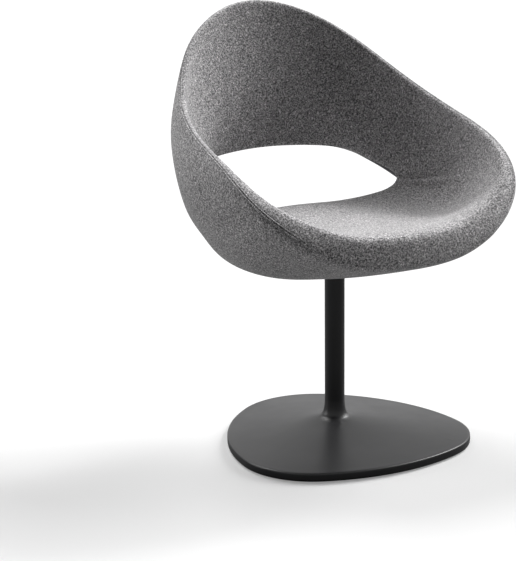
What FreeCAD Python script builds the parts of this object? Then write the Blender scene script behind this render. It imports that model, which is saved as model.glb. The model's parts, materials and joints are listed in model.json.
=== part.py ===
# Pedestal swivel armchair: a padded bucket shell, open low in the back, on a slim column and a flat base.
# Millimetres. +Z is up, the floor is z = 0 and the seat opens towards -Y.
# Every piece is drawn about the swivel axis. The whole chair is then set back so that the origin lies
# on the floor under the middle of its outline.
import FreeCAD, Part
import math
import os

V = FreeCAD.Vector
UP = V(0, 0, 1)

# The swivel axis stands this far in front of the middle of the chair
axis_setback = -22.0

# Base plate, seen from above: a rounded triangle of six arcs, with a flat side to the front
front_corner_x = 94.0
front_corner_y = -78.0
front_corner_radius = 145.0
back_corner_y = 75.0
back_corner_radius = 157.0
front_side_radius = 393.0
side_radius = 356.0

# Base plate, in section
glide_height = 3.0
edge_height = 16.5
edge_roll = 7.0
crown_height = 42.0
flare_radius = 50.0
neck_height = 38.0
plate_wall = 14.0

# Column tube, and the plug that joins it to the base
column_radius = 19.5
column_wall = 3.0
column_length = 266.0
plug_length = 84.0
plug_depth = 50.0
plug_clearance = 0.05
plug_thread_length = 64.0

# Fasteners of the base
column_bolt_radius = 6.0
column_bolt_length = 44.0
column_bolt_head = 7.5
column_bolt_flats = 19.0
column_washer_radius = 16.0
column_washer_thickness = 2.5
bolt_clearance = 0.5
bolt_recess_gap = 4.0
bolt_recess_depth = 6.0
ballast_thickness = 8.0
ballast_gap = 0.5
ballast_screw_count = 6
ballast_screw_circle = 100.0
ballast_screw_radius = 3.0
ballast_screw_length = 16.0
ballast_screw_head_radius = 6.0
ballast_screw_head_height = 3.3
socket_share = 0.6
socket_depth = 2.2

# Glides pressed into the ballast plate
glide_count = 6
glide_radius = 13.0
glide_inset = 34.0
glide_stem_radius = 4.0
glide_stem_length = 6.0
glide_edge = 1.0

# Swivel bearing in the top of the column
bush_wall = 3.94
running_clearance = 0.06
bush_length = 34.0
bush_flange = 2.0
spindle_length = 190.0
spindle_chamfer = 1.5
spindle_end = 8.0
race_thickness = 2.0
race_gap = 0.7
groove_depth = 0.6
ball_radius = 2.0
ball_count = 16
ball_clearance = 0.05
cage_thickness = 1.4
cage_clearance = 0.3
clip_groove_depth = 0.8
clip_reach = 2.5
clip_thickness = 1.4
clip_play = 0.4
clip_opening = 6.0
hub_step = 1.5
hub_length = 34.1
collar_wall = 2.0
collar_clearance = 0.6
collar_overlap = 9.0
collar_edge = 0.6

# Seat mounting plate, its block, bolts and nuts
spigot_radius = 11.0
mount_plate_thickness = 6.0
mount_plate_length = 140.0
mount_plate_depth = 104.0
mount_plate_corner = 16.0
mount_bolt_inset_x = 18.0
mount_bolt_inset_y = 16.0
mount_bolt_radius = 4.0
mount_bolt_length = 20.0
mount_bolt_head = 4.4
mount_bolt_head_radius = 6.5
mount_washer_radius = 8.5
mount_washer_thickness = 1.6
nut_barrel_radius = 5.5
nut_barrel_length = 11.2
nut_flange_radius = 10.0
nut_flange_thickness = 1.6
front_nut_height = 11.6
back_nut_height = 15.6

# Cover under the seat
access_margin = 3.0
cover_thickness = 3.0
cover_gap = 0.5
cover_hole_gap = 1.5
cover_boss_radius = 5.5
cover_screw_count = 3
cover_screw_circle = 44.0
cover_screw_radius = 2.0
cover_screw_clearance = 0.3
cover_screw_head_radius = 3.6
cover_screw_head_height = 1.8
cover_screw_head_gap = 0.4

# Upholstery, from the outside in
fabric_thickness = 2.0
core_thickness = 6.0
core_rim_inset = 14.0
core_opening_inset = 26.6

# Ribs of the shell: points of its middle surface about the swivel axis, with heights above the mounting
# plate, from the rim over the wall, the bend and the floor to the edge of the opening. The first rib is
# the middle of the front and the last one the middle of the back. The left half mirrors the right one.
ribs = (
    ((0, -285, 45), (0, -235, 35), (0, -120, 10), (0, 40, 15), (0, 160, 40)),
    ((110, -275, 45), (105, -225, 35), (110, -110, 5), (95, 40, 10), (90, 155, 35)),
    ((205, -245, 85), (200, -195, 55), (200, -85, 0), (175, 55, 15), (170, 145, 45)),
    ((275, -195, 140), (265, -145, 85), (250, -55, 15), (220, 75, 30), (225, 135, 60)),
    ((290, -100, 195), (300, -65, 120), (265, -15, 40), (235, 100, 55), (245, 150, 90)),
    ((285, 35, 225), (300, 45, 160), (270, 60, 70), (240, 150, 70), (225, 185, 115)),
    ((250, 165, 280), (260, 170, 225), (240, 165, 130), (210, 215, 105), (175, 235, 135)),
    ((160, 285, 390), (160, 275, 305), (145, 260, 220), (125, 275, 165), (100, 270, 145)),
    ((0, 350, 450), (0, 320, 345), (0, 300, 265), (0, 295, 200), (0, 285, 150)),
)

# Depth of the upholstery on each face of the middle surface, at the five points of a rib: first at the
# front of the seat, then at the arms and the back, with the share of the front depth at each rib.
seat_face = (30.0, 40.0, 48.0, 38.0, 15.0)
back_face = (8.0, 17.0, 18.0, 15.0, 9.0)
seat_under = (37.0, 41.0, 50.0, 36.0, 15.0)
back_outer = (10.0, 20.0, 15.0, 11.0, 9.0)
seat_share = (1.0, 0.97, 0.85, 0.45, 0.07, 0.0, 0.0, 0.0, 0.0)
rim_reach = 9.0
opening_reach = 6.0
rim_fullness = 0.72

# Heights and radii that follow from the sizes above
pocket_top = glide_height + ballast_thickness
recess_top = pocket_top + bolt_recess_depth
neck_top = crown_height + neck_height
plug_bottom = neck_top - plug_depth
washer_bottom = recess_top - column_washer_thickness
bolt_recess_radius = column_washer_radius + bolt_recess_gap
column_bore = column_radius - column_wall
column_top = neck_top + column_length
spindle_radius = column_bore - bush_wall - running_clearance
race_bottom = column_top + bush_flange
race_inner_radius = spindle_radius + race_gap
ball_circle = (race_inner_radius + column_radius) / 2
ball_height = race_bottom + race_thickness - groove_depth + ball_clearance + ball_radius
upper_race_bottom = ball_height + ball_radius + ball_clearance - groove_depth
hub_bottom = upper_race_bottom + race_thickness
hub_radius = column_radius + hub_step
spindle_bottom = hub_bottom - spindle_length
lower_bush_bottom = spindle_bottom + spindle_end
clip_bottom = lower_bush_bottom - clip_play - clip_thickness
clip_groove_radius = spindle_radius - clip_groove_depth
mount_plate_bottom = hub_bottom + hub_length
mount_plate_top = mount_plate_bottom + mount_plate_thickness
mount_bolt_x = mount_plate_length / 2 - mount_bolt_inset_x
mount_bolt_y = mount_plate_depth / 2 - mount_bolt_inset_y
mount_washer_bottom = mount_plate_bottom - mount_washer_thickness
corner_x = mount_plate_length / 2 - mount_plate_corner
corner_y = mount_plate_depth / 2 - mount_plate_corner
access_radius = math.hypot(corner_x, corner_y) + mount_plate_corner + access_margin


def cylinder(radius, height, z, x=0.0, y=0.0):
    return Part.makeCylinder(radius, height, V(x, y, z), UP)


def ring(outer, inner, height, z, x=0.0, y=0.0):
    return cylinder(outer, height, z, x, y).cut(cylinder(inner, height, z, x, y))


def hexagon(flats, height, z):
    corner = flats / math.sqrt(3)
    turns = [math.radians(60 * step) for step in range(7)]
    points = [V(corner * math.cos(t), corner * math.sin(t), z) for t in turns]
    return Part.Face(Part.makePolygon(points)).extrude(V(0, 0, height))


def around(count, radius, start=0.0):
    turns = [math.radians(start + 360.0 * step / count) for step in range(count)]
    return [(radius * math.cos(t), radius * math.sin(t)) for t in turns]


def low_edges(shape, z):
    return [edge for edge in shape.Edges if abs(edge.BoundBox.ZMin - z) + abs(edge.BoundBox.ZMax - z) < 0.02]


def group(shapes):
    return Part.makeCompound(shapes)


def save(name, shape):
    piece = shape.copy()
    piece.translate(V(0, axis_setback, 0))
    piece.exportStep("parts/" + name + ".step")


# Base outline

def arc(centre, radius, start, stop):
    turns = (start, (start + stop) / 2, stop)
    points = [V(centre[0] + radius * math.cos(t), centre[1] + radius * math.sin(t), 0) for t in turns]
    return Part.Arc(*points).toShape()


def heading(origin, target):
    return math.atan2(target[1] - origin[1], target[0] - origin[0])


def base_outline(inset):
    """Six tangent arcs, moved inwards by the inset."""
    front = (front_corner_x, front_corner_y)
    back = (0.0, back_corner_y)
    reach = front_side_radius - front_corner_radius
    front_centre = (0.0, front_corner_y + math.sqrt(reach ** 2 - front_corner_x ** 2))
    to_front = side_radius - front_corner_radius
    to_back = side_radius - back_corner_radius
    span = math.hypot(back[0] - front[0], back[1] - front[1])
    along = (to_front ** 2 - to_back ** 2 + span ** 2) / (2 * span)
    off = math.sqrt(to_front ** 2 - along ** 2)
    unit = ((back[0] - front[0]) / span, (back[1] - front[1]) / span)
    side_centre = (front[0] + unit[0] * along - unit[1] * off, front[1] + unit[1] * along + unit[0] * off)
    turn_front = heading(front_centre, front)
    turn_low = heading(side_centre, front)
    turn_high = heading(side_centre, back)
    right = [
        arc(front, front_corner_radius - inset, turn_front, turn_low),
        arc(side_centre, side_radius - inset, turn_low, turn_high),
        arc(back, back_corner_radius - inset, turn_high, math.pi - turn_high),
    ]
    left = [edge.mirror(V(0, 0, 0), V(1, 0, 0)) for edge in right[:2]]
    front_side = arc(front_centre, front_side_radius - inset, -math.pi - turn_front, turn_front)
    return Part.Wire(Part.__sortEdges__(right + left + [front_side]))


def base_prism(inset, bottom, top):
    face = Part.Face(base_outline(inset))
    face.translate(V(0, 0, bottom))
    return face.extrude(V(0, 0, top - bottom))


# Smooth surfaces

def closed_curve_poles(points):
    """Control points of the smooth closed curve that passes through the given points."""
    poles = list(points)
    count = len(points)
    for _ in range(24):
        fitted = [(poles[i - 1] + poles[i] * 4 + poles[(i + 1) % count]) * (1 / 6) for i in range(count)]
        poles = [pole + point - fit for pole, point, fit in zip(poles, points, fitted)]
    return poles


def open_knots(count):
    spans = count - 3
    return [4] + [1] * (spans - 1) + [4], list(range(spans + 1))


def crown_surface():
    """Upper skin of the base plate: rows of closed curves from the lower edge to the neck."""
    outline = base_outline(0)
    points = outline.discretize(49)[:-1]
    low = glide_height
    top = edge_height + glide_height
    rise = crown_height - top
    rows = [
        (1.0, 2.0, low),
        (1.0, 0.4, low + 0.6),
        (1.0, 0.0, low + 3.0),
        (1.0, 0.0, top - edge_roll / 2),
        (1.0, 0.5, top - 1.2),
        (1.0, edge_roll * 0.6, top),
        (1.0, edge_roll * 2, top + 0.6),
        (0.80, 0.0, top + rise * 0.18),
        (0.60, 0.0, top + rise * 0.38),
        (0.42, 0.0, top + rise * 0.60),
        (0.26, 0.0, top + rise * 0.83),
    ]
    flare = [
        (flare_radius, crown_height),
        (flare_radius * 0.72, crown_height + 2.5),
        (column_radius + 5.5, crown_height + 6.5),
        (column_radius + 1.6, crown_height + 17.0),
        (column_radius, crown_height + 31.0),
        (column_radius, neck_top),
    ]
    grid = []
    for share, inset, z in rows:
        row = []
        for point in points:
            reach = math.hypot(point.x, point.y)
            radius = column_radius + (reach - inset - column_radius) * share
            row.append(V(point.x / reach * radius, point.y / reach * radius, z))
        grid.append(closed_curve_poles(row))
    for radius, z in flare:
        turns = [math.atan2(point.y, point.x) for point in points]
        grid.append(closed_curve_poles([V(radius * math.cos(t), radius * math.sin(t), z) for t in turns]))
    poles = [[row[i] for row in grid] for i in range(len(points))]
    surface = Part.BSplineSurface()
    mults, knots = open_knots(len(grid))
    count = len(points)
    surface.buildFromPolesMultsKnots(
        poles, [1] * (count + 1), mults, list(range(count + 1)), knots, True, False, 3, 3)
    return surface


def solid_from(faces):
    shell = Part.Shell(Part.makeShell(faces).Faces)
    if not shell.isClosed():
        shell.sewShape()
    solid = Part.Solid(shell)
    if solid.Volume < 0:
        solid.reverse()
    return solid


def cap(surface, v):
    edge = surface.vIso(v).toShape()
    return Part.Face(Part.Wire([edge]))


# Base

def ballast_screw_places():
    return around(ballast_screw_count, ballast_screw_circle, 30)


def glide_places():
    """Places on the inset outline, in evenly spaced directions from the column."""
    outline = base_outline(glide_inset)
    places = []
    for x, y in around(glide_count, side_radius + front_side_radius, 90):
        crossing = outline.distToShape(Part.makeLine(V(0, 0, 0), V(x, y, 0)))[1][0][0]
        places.append((crossing.x, crossing.y))
    return places


def base_casting():
    surface = crown_surface()
    first, last = surface.bounds()[2:]
    body = solid_from([surface.toShape(), cap(surface, first), cap(surface, last)])
    body = body.cut(base_prism(plate_wall, 0, pocket_top))
    body = body.cut(cylinder(bolt_recess_radius, recess_top, 0))
    body = body.cut(cylinder(column_bolt_radius + bolt_clearance, neck_top, 0))
    body = body.cut(cylinder(column_bore, neck_top, plug_bottom))
    for x, y in ballast_screw_places():
        body = body.cut(cylinder(ballast_screw_radius, ballast_screw_length, glide_height, x, y))
    return body


def screw_head(x, y):
    height = ballast_screw_head_height
    centre = V(x, y, glide_height)
    return Part.makeCone(ballast_screw_head_radius, ballast_screw_radius, height, centre, UP)


def ballast_plate():
    body = base_prism(plate_wall + ballast_gap, glide_height, pocket_top)
    body = body.cut(cylinder(bolt_recess_radius, ballast_thickness, glide_height))
    for x, y in ballast_screw_places():
        hole = ballast_screw_radius + bolt_clearance
        body = body.cut(cylinder(hole, ballast_thickness, glide_height, x, y)).cut(screw_head(x, y))
    for x, y in glide_places():
        body = body.cut(cylinder(glide_stem_radius, glide_stem_length, glide_height, x, y))
    return body


def ballast_screws():
    screws = []
    for x, y in ballast_screw_places():
        shank = cylinder(ballast_screw_radius, ballast_screw_length, glide_height, x, y)
        socket = cylinder(ballast_screw_radius * socket_share, socket_depth, glide_height, x, y)
        screws.append(shank.fuse(screw_head(x, y)).cut(socket))
    return group(screws)


def glides():
    pads = []
    for x, y in glide_places():
        pad = cylinder(glide_radius, glide_height, 0, x, y)
        pad = pad.makeFillet(min(glide_edge, glide_height / 2), low_edges(pad, 0))
        pads.append(pad.fuse(cylinder(glide_stem_radius, glide_stem_length, glide_height, x, y)))
    return group(pads)


def column_tube():
    return ring(column_radius, column_bore, column_length, neck_top)


def column_plug():
    plug = cylinder(column_bore - plug_clearance, plug_length, plug_bottom)
    return plug.cut(cylinder(column_bolt_radius, plug_thread_length, plug_bottom))


def column_washer():
    inner = column_bolt_radius + bolt_clearance
    return ring(column_washer_radius, inner, column_washer_thickness, washer_bottom)


def column_bolt():
    head = hexagon(column_bolt_flats, column_bolt_head, washer_bottom - column_bolt_head)
    return head.fuse(cylinder(column_bolt_radius, column_bolt_length, washer_bottom))


# Swivel bearing

def lower_bush():
    return ring(column_bore, spindle_radius + running_clearance, bush_length, lower_bush_bottom)


def upper_bush():
    inner = spindle_radius + running_clearance
    sleeve = ring(column_bore, inner, bush_length, column_top - bush_length)
    return sleeve.fuse(ring(column_radius, inner, bush_flange, column_top))


def race(bottom):
    blank = ring(column_radius, race_inner_radius, race_thickness, bottom)
    groove = Part.makeTorus(ball_circle, ball_radius + ball_clearance, V(0, 0, ball_height), UP)
    return blank.cut(groove)


def bearing_balls():
    places = around(ball_count, ball_circle)
    return group([Part.makeSphere(ball_radius, V(x, y, ball_height)) for x, y in places])


def bearing_cage():
    bottom = ball_height - cage_thickness / 2
    cage = ring(column_radius - cage_clearance, race_inner_radius, cage_thickness, bottom)
    for x, y in around(ball_count, ball_circle):
        cage = cage.cut(cylinder(ball_radius + ball_clearance, cage_thickness, bottom, x, y))
    return cage


def spindle():
    shaft = cylinder(spindle_radius, spindle_length, spindle_bottom)
    shaft = shaft.makeChamfer(spindle_chamfer, low_edges(shaft, spindle_bottom))
    hub = cylinder(hub_radius, hub_length, hub_bottom)
    spigot = cylinder(spigot_radius, mount_plate_thickness, mount_plate_bottom)
    groove = ring(spindle_radius + 1, clip_groove_radius, clip_thickness, clip_bottom)
    return shaft.fuse(hub).fuse(spigot).cut(groove)


def spindle_clip():
    outer = spindle_radius + clip_reach
    slot = Part.makeBox(outer, clip_opening, clip_thickness, V(0, -clip_opening / 2, clip_bottom))
    return ring(outer, clip_groove_radius, clip_thickness, clip_bottom).cut(slot)


def bearing_collar():
    inner = column_radius + collar_clearance
    bottom = column_top - collar_overlap
    skirt = ring(inner + collar_wall, inner, hub_bottom - bottom, bottom)
    web = ring(inner + collar_wall, hub_radius, collar_wall, hub_bottom)
    collar = skirt.fuse(web).removeSplitter()
    return collar.makeFillet(min(collar_edge, collar_wall / 3), low_edges(collar, bottom))


# Seat mounting

def mount_places():
    return [(x, y) for x in (-mount_bolt_x, mount_bolt_x) for y in (-mount_bolt_y, mount_bolt_y)]


def cover_screw_places():
    return around(cover_screw_count, cover_screw_circle, 90)


def nut_seat(y):
    return mount_plate_top + (front_nut_height if y < 0 else back_nut_height)


def rounded_block(bottom, height):
    corner = V(-mount_plate_length / 2, -mount_plate_depth / 2, bottom)
    block = Part.makeBox(mount_plate_length, mount_plate_depth, height, corner)
    uprights = [edge for edge in block.Edges if edge.BoundBox.ZLength > height / 2]
    return block.makeFillet(mount_plate_corner, uprights)


def mounting_plate():
    plate = rounded_block(mount_plate_bottom, mount_plate_thickness)
    plate = plate.cut(cylinder(spigot_radius, mount_plate_thickness, mount_plate_bottom))
    for x, y in mount_places():
        hole = mount_bolt_radius + bolt_clearance
        plate = plate.cut(cylinder(hole, mount_plate_thickness, mount_plate_bottom, x, y))
    for x, y in cover_screw_places():
        plate = plate.cut(cylinder(cover_screw_radius, mount_plate_thickness, mount_plate_bottom, x, y))
    return plate


def mount_washers():
    inner = mount_bolt_radius + bolt_clearance
    washers = []
    for x, y in mount_places():
        washers.append(ring(mount_washer_radius, inner, mount_washer_thickness, mount_washer_bottom, x, y))
    return group(washers)


def mount_bolts():
    bolts = []
    for x, y in mount_places():
        bottom = mount_washer_bottom - mount_bolt_head
        head = cylinder(mount_bolt_head_radius, mount_bolt_head, bottom, x, y)
        socket = cylinder(mount_bolt_radius * socket_share, socket_depth, bottom, x, y)
        shank = cylinder(mount_bolt_radius, mount_bolt_length, mount_washer_bottom, x, y)
        bolts.append(head.fuse(shank).cut(socket))
    return group(bolts)


def tee_nuts():
    nuts = []
    for x, y in mount_places():
        seat = nut_seat(y)
        barrel = ring(nut_barrel_radius, mount_bolt_radius, nut_barrel_length, seat - nut_barrel_length, x, y)
        flange = ring(nut_flange_radius, mount_bolt_radius, nut_flange_thickness, seat, x, y)
        nuts.append(barrel.fuse(flange))
    return group(nuts)


def cut_nut_holes(body, x, y):
    """Stepped hole for a nut: a pocket for the flange, the barrel's hole, and the bolt's hole below."""
    seat = nut_seat(y)
    pocket = cylinder(nut_flange_radius, core_thickness, seat, x, y)
    barrel = cylinder(nut_barrel_radius, nut_barrel_length, seat - nut_barrel_length, x, y)
    bolt = cylinder(mount_bolt_radius + bolt_clearance, seat - mount_plate_top, mount_plate_top, x, y)
    return body.cut(pocket).cut(barrel).cut(bolt)


def mounting_block(blank):
    height = back_nut_height + core_thickness
    block = rounded_block(mount_plate_top, height).cut(blank)
    block = min(block.Solids, key=lambda solid: solid.CenterOfMass.z)
    for x, y in mount_places():
        block = cut_nut_holes(block, x, y)
    return block


# Bucket shell

def blend_depths(front, rest):
    half = [[f * share + r * (1 - share) for f, r in zip(front, rest)] for share in seat_share]
    return half + half[-2:0:-1]


def middle_net(rim_inset, opening_inset):
    """Points of the middle surface round the whole shell, drawn back from its two free edges."""
    left = [tuple((-x, y, z) for x, y, z in rib) for rib in ribs[-2:0:-1]]
    net = []
    for rib in list(ribs) + left:
        points = [V(x, y, mount_plate_top + z) for x, y, z in rib]
        from_rim = (points[1] - points[0]).normalize()
        from_opening = (points[-2] - points[-1]).normalize()
        points[0] += from_rim * rim_inset
        points[-1] += from_opening * opening_inset
        net.append(points)
    return net


def skin(net, face, under, rim, opening):
    """Closed surface round the middle surface. Its section starts on the crest of the rim, runs down the
    seat side to the opening and comes back up the outside."""
    count = len(net)
    poles = []
    for i, points in enumerate(net):
        before, after = net[i - 1], net[(i + 1) % count]
        normals = []
        for j in range(len(points)):
            down = points[min(j + 1, len(points) - 1)] - points[max(j - 1, 0)]
            normals.append((after[j] - before[j]).cross(down).normalize())
        inner = [p + n * depth for p, n, depth in zip(points, normals, face[i])]
        outer = [p - n * depth for p, n, depth in zip(points, normals, under[i])]
        crest = points[0] - (points[1] - points[0]).normalize() * rim
        nose = points[-1] + (points[-1] - points[-2]).normalize() * opening
        crest_outer = crest - normals[0] * under[i][0] * rim_fullness
        crest_inner = crest + normals[0] * face[i][0] * rim_fullness
        poles.append([crest_outer, crest_inner] + inner + [nose] + outer[::-1])
    poles = [row[-1:] + row[:-1] for row in poles[-1:] + poles[:-1]]
    rows, columns = len(poles), len(poles[0])
    surface = Part.BSplineSurface()
    surface.buildFromPolesMultsKnots(
        poles, [1] * (rows + 1), [1] * (columns + 1), list(range(rows + 1)), list(range(columns + 1)),
        True, True, 3, 3)
    return surface


def padded_skin(trim):
    """Skin of the upholstery, this far inside the finished fabric."""
    face = [[depth - trim for depth in row] for row in blend_depths(seat_face, back_face)]
    under = [[depth - trim for depth in row] for row in blend_depths(seat_under, back_outer)]
    return skin(middle_net(0, 0), face, under, rim_reach - trim, opening_reach - trim)


def core_skin():
    net = middle_net(core_rim_inset, core_opening_inset)
    flat = [[core_thickness / 2] * len(points) for points in net]
    return skin(net, flat, flat, core_thickness / 4, core_thickness / 4)


def strip(surface, start, stop):
    """Part of a skin between two places along its section, in a right and a left half."""
    halves = []
    for first, last in ((0, back_middle), (back_middle, 2 * back_middle)):
        half = surface.copy()
        half.segment(first, last, start, stop)
        halves.append(half)
    return halves


def wall(curve, opposite):
    """Ruled face between two curves that share their knots."""
    poles = [list(pair) for pair in zip(curve.getPoles(), opposite.getPoles())]
    surface = Part.BSplineSurface()
    surface.buildFromPolesMultsKnots(
        poles, curve.getMultiplicities(), [2, 2], curve.getKnots(), [0, 1], False, False, curve.Degree, 1)
    return surface.toShape()


def layer(outside, inside, start, stop):
    """Solid between two skins, closed by a wall along each of its two edges."""
    faces = []
    for out, inn in zip(strip(outside, start, stop), strip(inside, start, stop)):
        faces += [out.toShape(), inn.toShape()]
        faces += [wall(out.vIso(place), inn.vIso(place)) for place in (start, stop)]
    return solid_from(faces)


def core_blank(surface):
    parts = strip(surface, crest_place, nose_place) + strip(surface, nose_place, section_end)
    return solid_from([part.toShape() for part in parts])


def shell_core(blank):
    core = blank
    for x, y in mount_places():
        core = cut_nut_holes(core, x, y)
    return core


def well(radius):
    """Upright well about the swivel axis, its own seam turned to the back of the chair."""
    body = cylinder(radius, mount_plate_top * 2, 0)
    body.rotate(V(0, 0, 0), UP, 90)
    return body


def skin_height(body, x, y):
    """Height of the lowest point of a body above a place on the floor."""
    return Part.makeLine(V(x, y, 0), V(x, y, mount_plate_top * 2)).common(body).BoundBox.ZMin


def bottom_cover(underside, depth):
    """Shaped cap that continues the underside over the access hole, with a boss at each screw."""
    cover = underside.common(well(access_radius - cover_gap)).cut(well(hub_radius + cover_hole_gap))
    for x, y in cover_screw_places():
        cover = cover.fuse(depth.common(cylinder(cover_boss_radius, mount_plate_bottom, 0, x, y)))
    for x, y in cover_screw_places():
        seat = skin_height(depth, x, y) + cover_screw_head_height
        cover = cover.cut(cylinder(cover_screw_head_radius + cover_screw_head_gap, seat, 0, x, y))
        cover = cover.cut(cylinder(cover_screw_radius + cover_screw_clearance, mount_plate_top, 0, x, y))
    return cover.removeSplitter()


def cover_screws(depth):
    screws = []
    for x, y in cover_screw_places():
        bottom = skin_height(depth, x, y)
        seat = bottom + cover_screw_head_height
        head = cylinder(cover_screw_head_radius, cover_screw_head_height, bottom, x, y)
        shank = cylinder(cover_screw_radius, mount_plate_top - seat, seat, x, y)
        screws.append(head.fuse(shank))
    return group(screws)


# Places along the section of a skin: the crest of the rim, the edge of the opening, and the crest again
crest_place = 0
nose_place = len(ribs[0]) + 2
section_end = 2 * len(ribs[0]) + 3

# Place of the middle of the back; the middle of the front is 0
back_middle = len(ribs) - 1

finished = padded_skin(0)
backing = padded_skin(fabric_thickness)
core_face = core_skin()
blank = core_blank(core_face)
outer_depth = layer(finished, core_face, nose_place, section_end)
cover_shape = layer(finished, padded_skin(cover_thickness), nose_place, section_end)

pieces = {
    "base_casting": base_casting(),
    "ballast_plate": ballast_plate(),
    "ballast_screws": ballast_screws(),
    "glides": glides(),
    "column_tube": column_tube(),
    "column_plug": column_plug(),
    "column_washer": column_washer(),
    "column_bolt": column_bolt(),
    "lower_bush": lower_bush(),
    "upper_bush": upper_bush(),
    "lower_race": race(race_bottom),
    "bearing_balls": bearing_balls(),
    "bearing_cage": bearing_cage(),
    "upper_race": race(upper_race_bottom),
    "spindle": spindle(),
    "spindle_clip": spindle_clip(),
    "bearing_collar": bearing_collar(),
    "mounting_plate": mounting_plate(),
    "mounting_washers": mount_washers(),
    "mounting_bolts": mount_bolts(),
    "tee_nuts": tee_nuts(),
    "mounting_block": mounting_block(blank),
    "shell_core": shell_core(blank),
    "comfort_foam": layer(backing, core_face, crest_place, nose_place),
    "outer_padding": layer(backing, core_face, nose_place, section_end).cut(well(access_radius)),
    "inner_cover": layer(finished, backing, crest_place, nose_place),
    "outer_cover": layer(finished, backing, nose_place, section_end).cut(well(access_radius)),
    "bottom_cover": bottom_cover(cover_shape, outer_depth),
    "cover_screws": cover_screws(outer_depth),
}

os.makedirs("parts", exist_ok=True)
for name, shape in pieces.items():
    save(name, shape)
    print(name, "solids", len(shape.Solids), "volume", round(shape.Volume), "sound", shape.isValid())
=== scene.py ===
import json
import math

import bpy
import numpy as np
from mathutils import Matrix, Vector


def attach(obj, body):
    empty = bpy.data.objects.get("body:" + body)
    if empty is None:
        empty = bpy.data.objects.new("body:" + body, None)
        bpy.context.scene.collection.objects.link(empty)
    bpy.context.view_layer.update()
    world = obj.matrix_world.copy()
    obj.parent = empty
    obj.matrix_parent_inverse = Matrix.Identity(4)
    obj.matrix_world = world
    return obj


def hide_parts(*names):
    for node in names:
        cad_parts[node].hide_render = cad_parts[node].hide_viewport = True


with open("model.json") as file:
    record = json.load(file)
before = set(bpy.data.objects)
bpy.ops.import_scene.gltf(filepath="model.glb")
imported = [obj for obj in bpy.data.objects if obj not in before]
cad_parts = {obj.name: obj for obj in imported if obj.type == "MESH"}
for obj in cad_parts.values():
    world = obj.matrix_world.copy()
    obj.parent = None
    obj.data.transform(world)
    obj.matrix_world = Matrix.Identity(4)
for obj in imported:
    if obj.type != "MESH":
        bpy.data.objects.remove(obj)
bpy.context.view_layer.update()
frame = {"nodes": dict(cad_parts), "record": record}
nodes = frame["nodes"]
print("frame loaded:", len(nodes), "nodes")

# Ribs of the shell in millimetres about the swivel axis, heights from the top of the mounting plate:
# rim, wall, bend, floor and edge of the opening, from the middle of the front to the middle of the back.
shell = {
    "ribs": (
        ((0, -285, 45), (0, -235, 35), (0, -120, 10), (0, 40, 15), (0, 160, 40)),
        ((110, -275, 45), (105, -225, 35), (110, -110, 5), (95, 40, 10), (90, 155, 35)),
        ((205, -245, 85), (200, -195, 55), (200, -85, 0), (175, 55, 15), (170, 145, 45)),
        ((275, -195, 140), (265, -145, 85), (250, -55, 15), (220, 75, 30), (225, 135, 60)),
        ((290, -100, 195), (300, -65, 120), (265, -15, 40), (235, 100, 55), (245, 150, 90)),
        ((285, 35, 225), (300, 45, 160), (270, 60, 70), (240, 150, 70), (225, 185, 115)),
        ((250, 165, 280), (260, 170, 225), (240, 165, 130), (210, 215, 105), (175, 235, 135)),
        ((160, 285, 390), (160, 275, 305), (145, 260, 220), (125, 275, 165), (100, 270, 145)),
        ((0, 350, 450), (0, 320, 345), (0, 300, 265), (0, 295, 200), (0, 285, 150)),
    ),
    # Depth of the padding on each face at the five points of a rib
    "seatFace": (30, 40, 48, 38, 15),
    "backFace": (8, 17, 18, 15, 9),
    "seatUnder": (37, 41, 50, 36, 15),
    "backOuter": (10, 20, 15, 11, 9),
    # How far each rib belongs to the seat, from the front to the back
    "seatShare": (1, 0.97, 0.85, 0.45, 0.07, 0, 0, 0, 0),
    "rimReach": 9,
    "openingReach": 6,
    "rimFullness": 0.72,
    "axis": (0, -22, 395),
    "columns": 576,
    "seatRows": 72,
    "outerRows": 84,
}
roundPlaces = 2 * (len(shell["ribs"]) - 1)  # rib places once round the chair
nosePlace = len(shell["ribs"][0]) + 2  # place of the opening's edge, past two of the rim and a rib's five


def unitVectors(v):
    return v / np.linalg.norm(v, axis=-1, keepdims=True)


def shellPoles(s):
    ribs = np.array(s["ribs"], float)
    net = np.concatenate([ribs, ribs[-2:0:-1] * (-1, 1, 1)]) + s["axis"]
    along = np.roll(net, -1, 0) - np.roll(net, 1, 0)
    down = np.empty_like(net)
    down[:, 1:-1] = net[:, 2:] - net[:, :-2]
    down[:, 0] = net[:, 1] - net[:, 0]
    down[:, -1] = net[:, -1] - net[:, -2]
    normal = unitVectors(np.cross(along, down))
    share = np.array(s["seatShare"], float)
    share = np.concatenate([share, share[-2:0:-1]])[:, None]
    face = share * s["seatFace"] + (1 - share) * s["backFace"]
    under = share * s["seatUnder"] + (1 - share) * s["backOuter"]
    inner = net + normal * face[..., None]
    outer = net - normal * under[..., None]
    crest = net[:, 0] - unitVectors(down[:, 0]) * s["rimReach"]
    nose = net[:, -1] + unitVectors(down[:, -1]) * s["openingReach"]
    crestOuter = crest - normal[:, 0] * under[:, :1] * s["rimFullness"]
    crestInner = crest + normal[:, 0] * face[:, :1] * s["rimFullness"]
    return np.concatenate(
        [crestOuter[:, None], crestInner[:, None], inner, nose[:, None], outer[:, ::-1]], axis=1) / 1000


def cubicWeights(t):
    cell = np.floor(t).astype(int)
    f = (t - cell)[..., None]
    weights = np.concatenate([
        (1 - f) ** 3,
        3 * f ** 3 - 6 * f ** 2 + 4,
        -3 * f ** 3 + 3 * f ** 2 + 3 * f + 1,
        f ** 3], axis=-1) / 6
    return cell, weights


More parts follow.
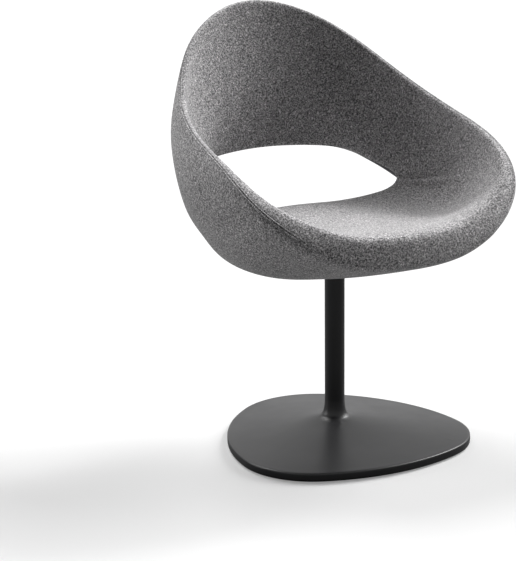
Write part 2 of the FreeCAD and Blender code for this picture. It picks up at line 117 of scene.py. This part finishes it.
# Points of the smooth closed skin: u runs round the chair and v round the section
def onShell(poles, u, v):
    cellU, weightU = cubicWeights(u)
    cellV, weightV = cubicWeights(v)
    total = np.zeros(u.shape + (3,))
    for a in range(4):
        for b in range(4):
            pole = poles[(cellU + a - 1) % poles.shape[0], (cellV + b - 1) % poles.shape[1]]
            total += pole * (weightU[..., a] * weightV[..., b])[..., None]
    return total


def shellNormals(poles, u, v):
    step = 1e-3
    du = onShell(poles, u + step, v) - onShell(poles, u - step, v)
    dv = onShell(poles, u, v + step) - onShell(poles, u, v - step)
    return unitVectors(np.cross(du, dv))


# Seam between the two covers, in millimetres along the cover from where they meet
seam = {
    "near": (0, 0.5, 1, 1.6, 2.3, 3, 3.6, 4.2, 5, 6.2, 8, 10.5),
    "noseNear": (1, 2.5, 5),
    "samples": 520,
    # The seam leaves the crest of the rim and runs under the front, between these two places
    "dive": -2.1,
    "diveStart": 1.15,
    "diveEnd": 2.05,
    "grooveDepth": 1.5,
    "grooveWidth": 0.9,
    "puffHeight": 0.7,
    "puffPlace": 2.4,
    "puffWidth": 1.2,
    "rowDip": 0.55,
    "rowPlace": 4.2,
    "rowWidth": 0.8,
    "noseDepth": 0.9,
    "noseWidth": 0.9,
    # Under the front only a little of the relief is left
    "hideStart": 1.7,
    "hideEnd": 2.35,
    "hideShare": 0.12,
}
# Soft fold where the seat meets the arm: places along the section, how far round it lies, and how deep
fold = {
    "along": (3.2, 3.5, 3.85, 4.3, 4.7, 5.4, 6.2),
    "round": (4.10, 4.50, 4.86, 5.03, 5.0, 4.9, 4.8),
    "share": (0, 0.25, 0.75, 1, 1, 0.8, 0.3),
    "depth": 4.6,
    "width": 0.09,
    "swell": 3.5,
    "swellPlace": 0.17,
    "swellWidth": 0.15,
}
# Slow unevenness of the padding: a few waves in different directions, none beside the seams
padding = {
    "waves": 9,
    "size": 0.11,
    "sizeRange": (0.6, 1.6),
    "phaseRange": (0, 6.3),
    "divisor": 3,
    "height": 0.5,
    "clearance": 60,
    "seed": 3,
}


def bump(distance, place, width):
    return np.exp(-((distance - place) / width) ** 2)


# Goes from 0 to 1 with a level start and end
def ease(share):
    share = np.clip(share, 0, 1)
    return share * share * (3 - 2 * share)


# Rib places to the middle of the front, whichever way round is shorter
def fromFront(u):
    return np.minimum(u, roundPlaces - u)


def seamPlace(u, s):
    return s["dive"] * ease((s["diveEnd"] - fromFront(u)) / (s["diveEnd"] - s["diveStart"]))


def seamShow(u, s):
    share = ease((fromFront(u) - s["hideStart"]) / (s["hideEnd"] - s["hideStart"]))
    return s["hideShare"] + (1 - s["hideShare"]) * share


# Places and running lengths round the section, from the seam back to it, for every column
def sectionTable(poles, s, cover):
    u = np.arange(cover["columns"]) * poles.shape[0] / cover["columns"]
    share = np.linspace(0, 1, s["samples"])
    v = seamPlace(u, s)[:, None] + share * poles.shape[1]
    points = onShell(poles, np.repeat(u[:, None], len(share), 1), v) * 1000
    steps = np.linalg.norm(np.diff(points, axis=1), axis=-1)
    lengths = np.concatenate([np.zeros((len(u), 1)), np.cumsum(steps, axis=1)], axis=1)
    return u, v, lengths


# Places of the cover's rows round the section, and how far each lies from the seam and from the nose
def sectionRows(poles, s, cover):
    u, v, lengths = sectionTable(poles, s, cover)
    near = np.array(s["near"], float)
    nose = np.array(s["noseNear"], float)
    places, distances, noses = [], [], []
    for i in range(len(u)):
        total = lengths[i, -1]
        edge = np.interp(nosePlace, v[i], lengths[i])
        inner = np.linspace(near[-1], edge - nose[-1], cover["seatRows"])[1:]
        outer = np.linspace(edge + nose[-1], total - near[-1], cover["outerRows"])[1:]
        rows = np.concatenate(
            [near, inner, edge - nose[-2::-1], [edge], edge + nose, outer, total - near[-2:0:-1]])
        places.append(np.interp(rows, lengths[i], v[i]))
        distances.append(np.minimum(rows, total - rows))
        noses.append(np.abs(rows - edge))
    return u, np.array(places), np.array(distances), np.array(noses)


def foldPush(u, v, f):
    away = fromFront(u) - np.interp(v, f["along"], f["round"])
    share = np.interp(v, f["along"], f["share"], left=0, right=0)
    return share * (f["swell"] * bump(away, -f["swellPlace"], f["swellWidth"])
                    - f["depth"] * bump(away, 0, f["width"]))


def paddingWaves(points, p):
    pick = np.random.default_rng(p["seed"])
    total = np.zeros(points.shape[:-1])
    for _ in range(p["waves"]):
        direction = unitVectors(pick.normal(size=3))
        length = p["size"] * pick.uniform(*p["sizeRange"])
        total += np.sin(points @ direction * math.tau / length + pick.uniform(*p["phaseRange"]))
    return total / p["divisor"]


# Skin with the relief of seam, opening's edge, fold and padding, in metres
def coverPoints(poles, u, v, distance, noseDistance, s):
    grid = np.repeat(u[:, None], v.shape[1], 1)
    points = onShell(poles, grid, v)
    normals = shellNormals(poles, grid, v)
    push = -s["grooveDepth"] * bump(distance, 0, s["grooveWidth"])
    push += s["puffHeight"] * bump(distance, s["puffPlace"], s["puffWidth"])
    push -= s["rowDip"] * bump(distance, s["rowPlace"], s["rowWidth"])
    push *= seamShow(u, s)[:, None]
    push -= s["noseDepth"] * bump(noseDistance, 0, s["noseWidth"])
    push += foldPush(grid, v, fold)
    free = np.clip(np.minimum(distance, noseDistance) / padding["clearance"], 0, 1)
    push += padding["height"] * free * paddingWaves(points, padding)
    return points + normals * push[..., None] / 1000, normals


def meshObject(name, points, faces, edges=()):
    mesh = bpy.data.meshes.new(name)
    mesh.from_pydata(points.reshape(-1, 3).tolist(), list(edges), faces)
    mesh.validate()
    item = bpy.data.objects.new(name, mesh)
    bpy.context.collection.objects.link(item)
    return item


def smooth(item, angle=None):
    mesh = item.data
    mesh.polygons.foreach_set("use_smooth", [True] * len(mesh.polygons))
    if angle is not None:
        mesh.set_sharp_from_angle(angle=math.radians(angle))
    mesh.update()


# Keeps what the modifiers make as one plain mesh
def applyModifiers(item):
    graph = bpy.context.evaluated_depsgraph_get()
    mesh = bpy.data.meshes.new_from_object(item.evaluated_get(graph), depsgraph=graph)
    item.modifiers.clear()
    item.data = mesh
    return item


def dress(item, paint):
    item.data.materials.clear()
    item.data.materials.append(paint)
    item.data.polygons.foreach_set("material_index", [0] * len(item.data.polygons))


# Round access hole in the underside, which the cap closes, in millimetres
well = {"radius": 83.9, "top": 399, "depth": 300, "sides": 160}
creaseAngle = 50


def upholstery(poles, cover, s, hole):
    u, v, distance, noseDistance = sectionRows(poles, s, cover)
    points, normals = coverPoints(poles, u, v, distance, noseDistance, s)
    rows = v.shape[1]
    columns = len(u)
    faces = []
    for i in range(columns):
        j = (i + 1) % columns
        for k in range(rows):
            m = (k + 1) % rows
            faces.append((i * rows + k, j * rows + k, j * rows + m, i * rows + m))
    item = meshObject("upholsteredShell", points, faces)
    across, deep, _ = cover["axis"]
    bpy.ops.mesh.primitive_cylinder_add(
        vertices=hole["sides"], radius=hole["radius"] / 1000, depth=hole["depth"] / 1000,
        location=(across / 1000, deep / 1000, (hole["top"] - hole["depth"] / 2) / 1000))
    cutter = bpy.context.object
    cut = item.modifiers.new("well", "BOOLEAN")
    cut.operation = "DIFFERENCE"
    cut.solver = "MANIFOLD"
    cut.object = cutter
    applyModifiers(item)
    bpy.data.objects.remove(cutter)
    smooth(item, creaseAngle)
    print("upholstery:", len(item.data.polygons), "faces")
    return item


# Two rows of stitches, one on each side of the seam, in millimetres
stitch = {
    "pitch": 5.2,
    "length": 3.7,
    "radius": 0.38,
    "lift": 0.1,
    "sizeLow": (0.88, 0.9, 0.9),
    "sizeHigh": (1.08, 1.1, 1.1),
    "segments": 6,
    "rings": 4,
    "noseClear": 100,
    "seed": 7,
}


# Points and outward directions of both rows
def stitchLines(poles, cover, s, t):
    u, v, lengths = sectionTable(poles, s, cover)
    lines = []
    for side in (1, -1):
        places = []
        for i in range(len(u)):
            length = s["rowPlace"] if side == 1 else lengths[i, -1] - s["rowPlace"]
            places.append(np.interp(length, lengths[i], v[i]))
        place = np.array(places)[:, None]
        distance = np.full_like(place, s["rowPlace"])
        points, normals = coverPoints(poles, u, place, distance, distance + t["noseClear"], s)
        lines.append(((points + normals * t["lift"] / 1000)[:, 0], normals[:, 0]))
    return lines


def link(tree, source, sourceName, target, targetName):
    tree.links.new(source.outputs[sourceName], target.inputs[targetName])


def groupInput(tree, name, kind, value=None):
    entry = tree.interface.new_socket(name=name, in_out="INPUT", socket_type=kind)
    if value is not None:
        entry.default_value = value


# Sizes that the modifier gives the tree, by the names of its inputs
def stitchSizes(t):
    return {"Pitch": t["pitch"] / 1000, "Length": t["length"] / 1000, "Radius": t["radius"] / 1000,
            "Seed": t["seed"]}


# A stitch at an even pitch along each line, turned along the line and lying on the cover
def stitchTree(t, thread):
    tree = bpy.data.node_groups.new("stitchRow", "GeometryNodeTree")
    groupInput(tree, "Lines", "NodeSocketGeometry")
    for name, value in stitchSizes(t).items():
        groupInput(tree, name, "NodeSocketInt" if name == "Seed" else "NodeSocketFloat", value)
    tree.interface.new_socket(name="Stitches", in_out="OUTPUT", socket_type="NodeSocketGeometry")
    new = tree.nodes.new
    given = new("NodeGroupInput")
    result = new("NodeGroupOutput")
    curve = new("GeometryNodeMeshToCurve")
    even = new("GeometryNodeResampleCurve")
    even.mode = "LENGTH"
    place = new("GeometryNodeInstanceOnPoints")
    bead = new("GeometryNodeMeshUVSphere")
    bead.inputs["Segments"].default_value = t["segments"]
    bead.inputs["Rings"].default_value = t["rings"]
    bead.inputs["Radius"].default_value = 1
    tangent = new("GeometryNodeInputTangent")
    outward = new("GeometryNodeInputNamedAttribute")
    outward.data_type = "FLOAT_VECTOR"
    outward.inputs["Name"].default_value = "outward"
    alongLine = new("FunctionNodeAlignRotationToVector")
    alongLine.axis = "X"
    upright = new("FunctionNodeAlignRotationToVector")
    upright.axis = "Z"
    upright.pivot_axis = "X"
    vary = new("FunctionNodeRandomValue")
    vary.data_type = "FLOAT_VECTOR"
    vary.inputs[0].default_value = t["sizeLow"]
    vary.inputs[1].default_value = t["sizeHigh"]
    half = new("ShaderNodeMath")
    half.operation = "MULTIPLY"
    half.inputs[1].default_value = 0.5
    size = new("ShaderNodeCombineXYZ")
    sized = new("ShaderNodeVectorMath")
    sized.operation = "MULTIPLY"
    real = new("GeometryNodeRealizeInstances")
    paint = new("GeometryNodeSetMaterial")
    paint.inputs["Material"].default_value = thread
    link(tree, given, "Lines", curve, "Mesh")
    link(tree, curve, "Curve", even, "Curve")
    link(tree, given, "Pitch", even, "Length")
    link(tree, even, "Curve", place, "Points")
    link(tree, bead, "Mesh", place, "Instance")
    link(tree, tangent, "Tangent", alongLine, "Vector")
    link(tree, alongLine, "Rotation", upright, "Rotation")
    link(tree, outward, "Attribute", upright, "Vector")
    link(tree, upright, "Rotation", place, "Rotation")
    link(tree, given, "Length", half, 0)
    link(tree, half, "Value", size, "X")
    link(tree, given, "Radius", size, "Y")
    link(tree, given, "Radius", size, "Z")
    link(tree, given, "Seed", vary, "Seed")
    link(tree, size, "Vector", sized, 0)
    link(tree, vary, "Value", sized, 1)
    link(tree, sized, "Vector", place, "Scale")
    link(tree, place, "Instances", real, "Geometry")
    link(tree, real, "Geometry", paint, "Geometry")
    link(tree, paint, "Geometry", result, "Stitches")
    return tree


def stitches(lines, t, thread):
    points = np.concatenate([line[0] for line in lines])
    outward = np.concatenate([line[1] for line in lines])
    count = len(lines[0][0])
    edges = [(start + k, start + (k + 1) % count) for start in (0, count) for k in range(count)]
    item = meshObject("seamStitches", points, [], edges)
    lift = item.data.attributes.new("outward", "FLOAT_VECTOR", "POINT")
    lift.data.foreach_set("vector", outward.ravel())
    rows = item.modifiers.new("rows", "NODES")
    rows.node_group = stitchTree(t, thread)
    values = stitchSizes(t)
    for entry in rows.node_group.interface.items_tree:
        if entry.item_type == "SOCKET" and entry.name in values:
            rows[entry.identifier] = values[entry.name]
    applyModifiers(item)
    smooth(item)
    print("stitches:", len(item.data.polygons), "faces")
    return item


def newMaterial(name, rough, metal=0.0):
    paint = bpy.data.materials.new(name)
    paint.use_nodes = True
    shader = paint.node_tree.nodes["Principled BSDF"]
    shader.inputs["Roughness"].default_value = rough
    shader.inputs["Metallic"].default_value = metal
    return paint, paint.node_tree, shader


def noiseNode(tree, scale, detail, rough=0.5):
    place = tree.nodes.new("ShaderNodeTexCoord")
    noise = tree.nodes.new("ShaderNodeTexNoise")
    noise.inputs["Scale"].default_value = scale
    noise.inputs["Detail"].default_value = detail
    noise.inputs["Roughness"].default_value = rough
    link(tree, place, "Object", noise, "Vector")
    return noise


def rampNode(tree, source, output, stops):
    ramp = tree.nodes.new("ShaderNodeValToRGB")
    points = ramp.color_ramp.elements
    while len(points) < len(stops):
        points.new(0.5)
    for point, (position, colour) in zip(points, stops):
        point.position = position
        point.color = (*colour, 1)
    link(tree, source, output, ramp, "Fac")
    return ramp


# Ramp between two greys over the middle of a noise
def greyRamp(tree, source, low, high):
    return rampNode(tree, source, "Fac", [(0.3, (low,) * 3), (0.7, (high,) * 3)])


def timesNode(tree, first, firstName, second, secondName):
    times = tree.nodes.new("ShaderNodeVectorMath")
    times.operation = "MULTIPLY"
    link(tree, first, firstName, times, 0)
    link(tree, second, secondName, times, 1)
    return times


def bumpNode(tree, source, output, strength, depth, before=None):
    bumps = tree.nodes.new("ShaderNodeBump")
    bumps.inputs["Strength"].default_value = strength
    bumps.inputs["Distance"].default_value = depth
    link(tree, source, output, bumps, "Height")
    if before is not None:
        link(tree, before, "Normal", bumps, "Normal")
    return bumps


# Grey melange felt: dark and light fibres pressed together, flecks, a slow cloud of tone and a soft nap
felt = {
    "rough": 0.95,
    "gloss": 0.15,
    "sheen": 0.22,
    "sheenRough": 0.6,
    "fibres": {"scale": 400, "detail": 3, "rough": 0.62},
    "dark": (0.06, 0.06, 0.062),
    "middle": (0.32, 0.313, 0.318),
    "light": (0.78, 0.76, 0.77),
    "stops": (0.36, 0.5, 0.66),
    "flecks": {"scale": 250, "detail": 2},
    "fleckTones": (0.62, 1.34),
    "cloud": {"scale": 26, "detail": 2},
    "cloudTones": (0.95, 1.05),
    "nap": {"scale": 1500, "detail": 4, "rough": 0.65},
    "bumpStrength": 0.55,
    "bumpDepth": 0.0007,
}


def feltMaterial(f):
    paint, tree, shader = newMaterial("felt", f["rough"])
    fibres = noiseNode(tree, **f["fibres"])
    flecks = noiseNode(tree, **f["flecks"])
    cloud = noiseNode(tree, **f["cloud"])
    mixed = rampNode(tree, fibres, "Fac", list(zip(f["stops"], (f["dark"], f["middle"], f["light"]))))
    flecked = timesNode(tree, mixed, "Color", greyRamp(tree, flecks, *f["fleckTones"]), "Color")
    clouded = timesNode(tree, flecked, "Vector", greyRamp(tree, cloud, *f["cloudTones"]), "Color")
    link(tree, clouded, "Vector", shader, "Base Color")
    nap = noiseNode(tree, **f["nap"])
    low = bumpNode(tree, flecks, "Fac", f["bumpStrength"], f["bumpDepth"])
    fine = bumpNode(tree, nap, "Fac", f["bumpStrength"], f["bumpDepth"] / 2, low)
    link(tree, fine, "Normal", shader, "Normal")
    shader.inputs["Sheen Weight"].default_value = f["sheen"]
    shader.inputs["Sheen Roughness"].default_value = f["sheenRough"]
    shader.inputs["Specular IOR Level"].default_value = f["gloss"]
    return paint


# What every coat has unless it says otherwise; scales are of the noise and depths in metres
plainCoat = {
    "metal": 0.0,
    "gloss": 0.5,
    "scale": 900,
    "detail": 3,
    "strength": 0.15,
    "depth": 0.0001,
    "smearScale": 14,
    "smearRange": (0.92, 1.08),
    "toneRange": (0.94, 1.06),
}
coats = {
    "black_coat": {"colour": (0.015, 0.015, 0.016), "rough": 0.36, "gloss": 0.26, "scale": 1100,
                   "strength": 0.12},
    "black_plastic": {"colour": (0.021, 0.021, 0.022), "rough": 0.48, "scale": 700, "strength": 0.2},
    "mount_coat": {"colour": (0.03, 0.03, 0.031), "rough": 0.5, "scale": 800, "strength": 0.2},
    "ballast_steel": {"colour": (0.2, 0.19, 0.185), "rough": 0.55, "metal": 0.7, "scale": 160,
                      "strength": 0.3},
    "plated_steel": {"colour": (0.62, 0.62, 0.6), "rough": 0.3, "metal": 1.0},
    "plain_steel": {"colour": (0.5, 0.49, 0.48), "rough": 0.34, "metal": 1.0},
    "bearing_steel": {"colour": (0.6, 0.6, 0.61), "rough": 0.16, "metal": 1.0},
    "cage_brass": {"colour": (0.72, 0.5, 0.22), "rough": 0.3, "metal": 1.0},
    "black_screw": {"colour": (0.03, 0.03, 0.032), "rough": 0.35, "metal": 0.8},
    "glide_plastic": {"colour": (0.05, 0.05, 0.052), "rough": 0.55},
    "bush_plastic": {"colour": (0.7, 0.68, 0.62), "rough": 0.5},
    "shell_plastic": {"colour": (0.1, 0.1, 0.11), "rough": 0.45, "scale": 120, "strength": 0.4},
    "foam": {"colour": (0.82, 0.8, 0.72), "rough": 0.95, "scale": 900, "strength": 0.6, "depth": 0.0006},
    "thread": {"colour": (0.3, 0.3, 0.305), "rough": 0.8, "scale": 2500, "strength": 0.4},
}


# One colour with a fine grain, and a roughness that varies a little over the piece
def coatMaterial(name, values):
    c = {**plainCoat, **values}
    paint, tree, shader = newMaterial(name, c["rough"], c["metal"])
    grain = noiseNode(tree, c["scale"], c["detail"])
    smear = noiseNode(tree, c["smearScale"], c["detail"])
    sheen = greyRamp(tree, smear, *(c["rough"] * share for share in c["smearRange"]))
    link(tree, sheen, "Color", shader, "Roughness")
    darker, lighter = (tuple(x * share for x in c["colour"]) for share in c["toneRange"])
    tint = rampNode(tree, grain, "Fac", [(0.3, darker), (0.7, lighter)])
    link(tree, tint, "Color", shader, "Base Color")
    shader.inputs["Specular IOR Level"].default_value = c["gloss"]
    bumps = bumpNode(tree, grain, "Fac", c["strength"], c["depth"])
    link(tree, bumps, "Normal", shader, "Normal")
    return paint


# Thin plies one over another, each as thick as ply, in metres
plywood = {
    "colour": (0.62, 0.44, 0.26),
    "dark": (0.42, 0.27, 0.14),
    "stops": (0.35, 0.65),
    "rough": 0.6,
    "ply": 0.0015,
    "waver": 0.4,
}


def plywoodMaterial(p):
    paint, tree, shader = newMaterial("plywood", p["rough"])
    place = tree.nodes.new("ShaderNodeTexCoord")
    plies = tree.nodes.new("ShaderNodeTexWave")
    plies.bands_direction = "Z"
    plies.inputs["Scale"].default_value = 2 / (p["ply"] * math.tau)
    plies.inputs["Distortion"].default_value = p["waver"]
    link(tree, place, "Object", plies, "Vector")
    tint = rampNode(tree, plies, "Fac", list(zip(p["stops"], (p["colour"], p["dark"]))))
    link(tree, tint, "Color", shader, "Base Color")
    return paint


def paintNodes(materials, slots):
    for name, item in nodes.items():
        item.data.materials.clear()
        item.data.materials.append(materials[slots[name]])


def mixGlow(tree, rays, lowShader, highShader):
    mix = tree.nodes.new("ShaderNodeMixShader")
    tree.links.new(rays, mix.inputs[0])
    tree.links.new(lowShader.outputs[0], mix.inputs[1])
    tree.links.new(highShader.outputs[0], mix.inputs[2])
    return mix


# Matt floor: the camera sees a paler one that is partly plain white, so that the shadows stay light
floorPaint = {"size": 24, "colour": (0.25, 0.25, 0.25), "glow": 0.27, "shown": (0.54, 0.54, 0.54)}


def floorMaterial(f):
    paint = bpy.data.materials.new("floor")
    paint.use_nodes = True
    tree = paint.node_tree
    tree.nodes.clear()
    result = tree.nodes.new("ShaderNodeOutputMaterial")
    matt = tree.nodes.new("ShaderNodeBsdfDiffuse")
    matt.inputs["Color"].default_value = (*f["colour"], 1)
    pale = tree.nodes.new("ShaderNodeBsdfDiffuse")
    pale.inputs["Color"].default_value = (*f["shown"], 1)
    white = tree.nodes.new("ShaderNodeEmission")
    white.inputs["Strength"].default_value = f["glow"]
    both = tree.nodes.new("ShaderNodeAddShader")
    tree.links.new(pale.outputs[0], both.inputs[0])
    tree.links.new(white.outputs[0], both.inputs[1])
    rays = tree.nodes.new("ShaderNodeLightPath")
    mix = mixGlow(tree, rays.outputs["Is Camera Ray"], matt, both)
    tree.links.new(mix.outputs[0], result.inputs["Surface"])
    return paint


def buildFloor(f):
    bpy.ops.mesh.primitive_plane_add(size=f["size"])
    floor = bpy.context.object
    floor.name = "floor"
    floor.data.materials.append(floorMaterial(f))


# Strength of the plain fill from all sides; the camera and reflections see white instead
worldFill = 0.02


def buildWorld(fill):
    world = bpy.data.worlds.new("studio")
    bpy.context.scene.world = world
    world.use_nodes = True
    tree = world.node_tree
    tree.nodes.clear()
    result = tree.nodes.new("ShaderNodeOutputWorld")
    soft = tree.nodes.new("ShaderNodeBackground")
    soft.inputs["Strength"].default_value = fill
    white = tree.nodes.new("ShaderNodeBackground")
    white.inputs["Strength"].default_value = 1
    for background in (soft, white):
        background.inputs["Color"].default_value = (1, 1, 1, 1)
    rays = tree.nodes.new("ShaderNodeLightPath")
    seen = tree.nodes.new("ShaderNodeMath")
    seen.operation = "ADD"
    seen.use_clamp = True
    tree.links.new(rays.outputs["Is Camera Ray"], seen.inputs[0])
    tree.links.new(rays.outputs["Is Glossy Ray"], seen.inputs[1])
    mix = mixGlow(tree, seen.outputs[0], soft, white)
    tree.links.new(mix.outputs[0], result.inputs["Surface"])


# Far soft lamps that light the floor evenly. A direction is as the camera sees it: to the right, away
# from the camera and up. A spread is the angle that the lamp fills, in degrees.
lamps = {
    "keyLight": {"toward": (0.446, 0.42, 0.6), "spread": 16, "power": 1.4},
    "topLight": {"toward": (-0.36, 0.46, 1.0), "spread": 32, "power": 2.15},
    "rightLight": {"toward": (1.0, 0.6, 0.9), "spread": 46, "power": 3.1},
    "sideFill": {"toward": (-1.0, 0.1, 0.3), "spread": 30, "power": 0.95},
}
lampDistance = 5
viewAzimuth = 30.5


def buildLamp(name, lamp, azimuth):
    turn = math.radians(azimuth)
    right, away, up = lamp["toward"]
    toward = Vector((
        right * math.cos(turn) + away * math.sin(turn),
        -right * math.sin(turn) + away * math.cos(turn), up)).normalized()
    data = bpy.data.lights.new(name, "SUN")
    data.angle = math.radians(lamp["spread"])
    data.energy = lamp["power"]
    item = bpy.data.objects.new(name, data)
    item.location = toward * lampDistance
    item.rotation_euler = toward.to_track_quat("Z", "Y").to_euler()
    bpy.context.collection.objects.link(item)


# Camera of the photograph: its place in metres, and its right, up and backward directions
view = {
    "place": (-1.7020, -2.9446, 1.1899),
    "axes": (
        (0.884015, -0.467326, -0.011137),
        (0.125812, 0.214910, 0.968496),
        (-0.450210, -0.857566, 0.248779),
    ),
    "lens": 115.508,
    "sensor": 36,
}


def buildCamera(w):
    data = bpy.data.cameras.new("camera")
    data.sensor_width = w["sensor"]
    data.lens = w["lens"]
    camera = bpy.data.objects.new("camera", data)
    turn = Matrix(w["axes"]).transposed().to_4x4()
    camera.matrix_world = Matrix.Translation(w["place"]) @ turn
    bpy.context.collection.objects.link(camera)
    bpy.context.scene.camera = camera


slots = {entry["node"]: entry["material_slot"] for entry in frame["record"]["subparts"]}
materials = {name: coatMaterial(name, values) for name, values in coats.items()}
materials["felt"] = feltMaterial(felt)
materials["plywood"] = plywoodMaterial(plywood)
paintNodes(materials, slots)
print("materials:", len(materials))

# One skin stands for both covers and the foam under them, and turns with the seat
poles = shellPoles(shell)
cover = upholstery(poles, shell, seam, well)
dress(cover, materials["felt"])
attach(cover, "seat")
softNodes = [name for name in nodes if slots[name] in ("felt", "foam")]
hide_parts(*softNodes)

rows = stitches(stitchLines(poles, shell, seam, stitch), stitch, materials["thread"])
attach(rows, "seat")

buildFloor(floorPaint)
buildWorld(worldFill)
for name, lamp in lamps.items():
    buildLamp(name, lamp, viewAzimuth)
buildCamera(view)
bpy.context.scene.view_settings.view_transform = "Standard"
print("stage, lamps and camera are in place")
